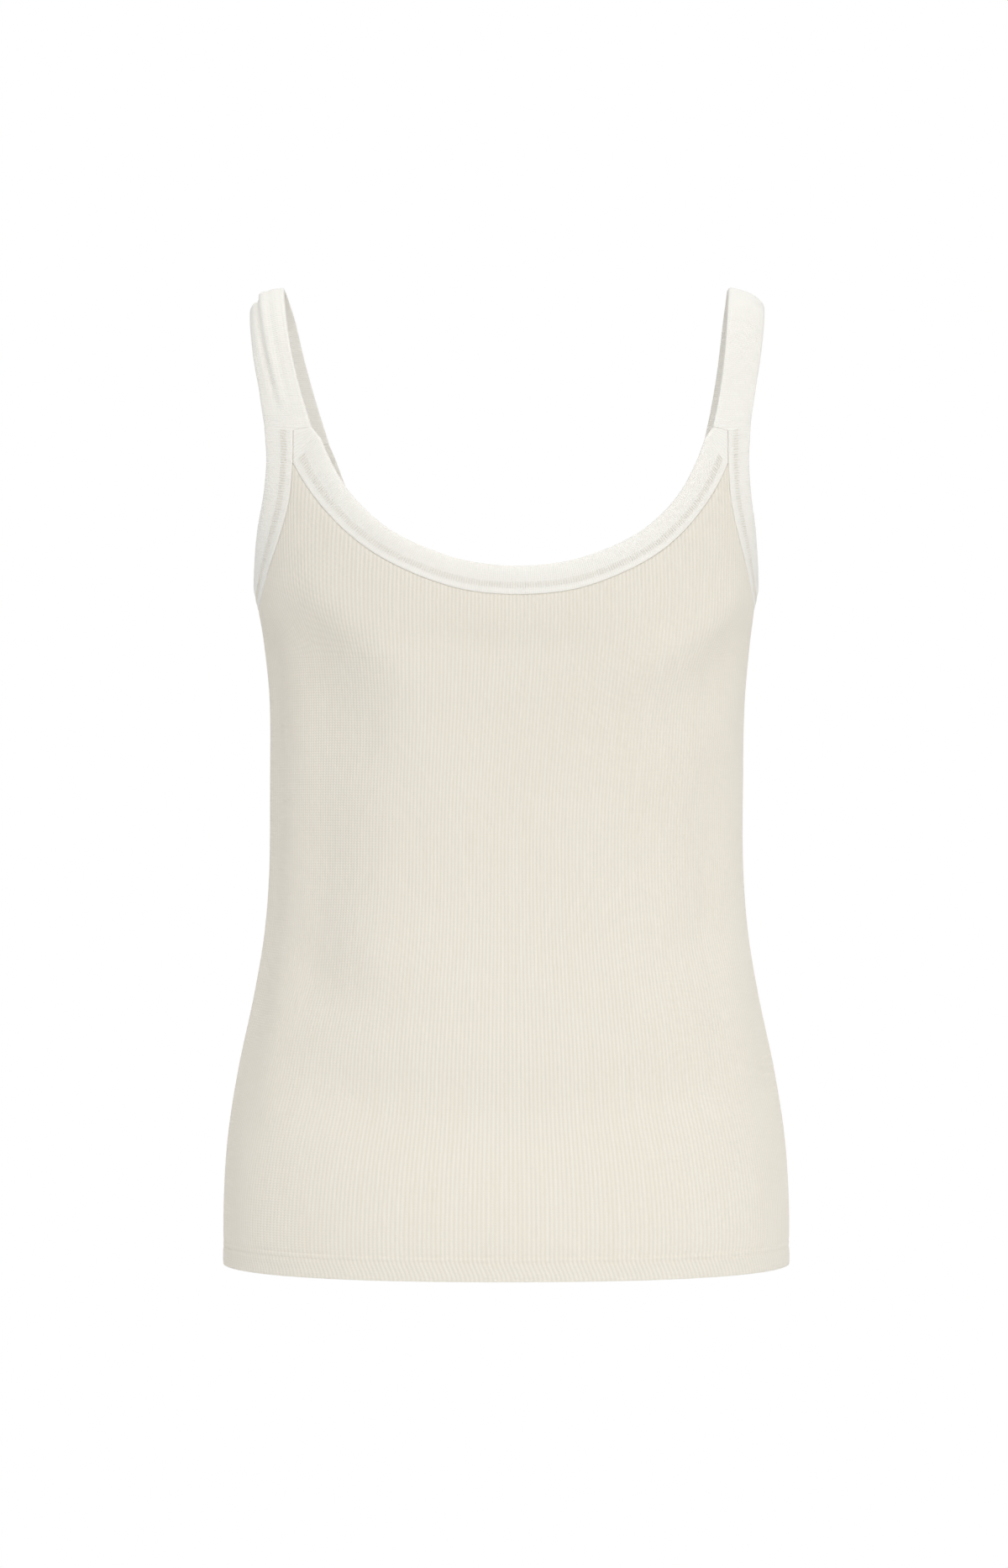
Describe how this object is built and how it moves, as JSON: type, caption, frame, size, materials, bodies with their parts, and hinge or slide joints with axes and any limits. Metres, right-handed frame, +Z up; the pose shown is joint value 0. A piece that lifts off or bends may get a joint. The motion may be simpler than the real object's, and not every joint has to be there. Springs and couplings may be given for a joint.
{
  "type": "tank top",
  "caption": "Sleeveless rib-knit tank top with a wide scooped neck, bound neck and armholes and a plain turned-up hem, filled out as worn.",
  "frame": {"origin": "on the centre line, midway between the two straps, at the height where the wearer's shoulders carry them", "axes": "+Z up along the body, -Y towards the back, +Y towards the front, +X towards the wearer's right"},
  "size_m": [0.3412, 0.2313, 0.5877],
  "materials": {
    "rib_knit": "fine vertical rib knit, matte, cream",
    "binding_knit": "the same knit folded over as a smooth binding, matte, cream"
  },
  "bodies": {
    "root": {"back_panel": "rib_knit", "front_panel": "rib_knit", "back_neck_binding": "binding_knit", "front_neck_binding": "binding_knit", "right_armhole_band": "binding_knit", "left_armhole_band": "binding_knit"}
  },
  "joints": []
}
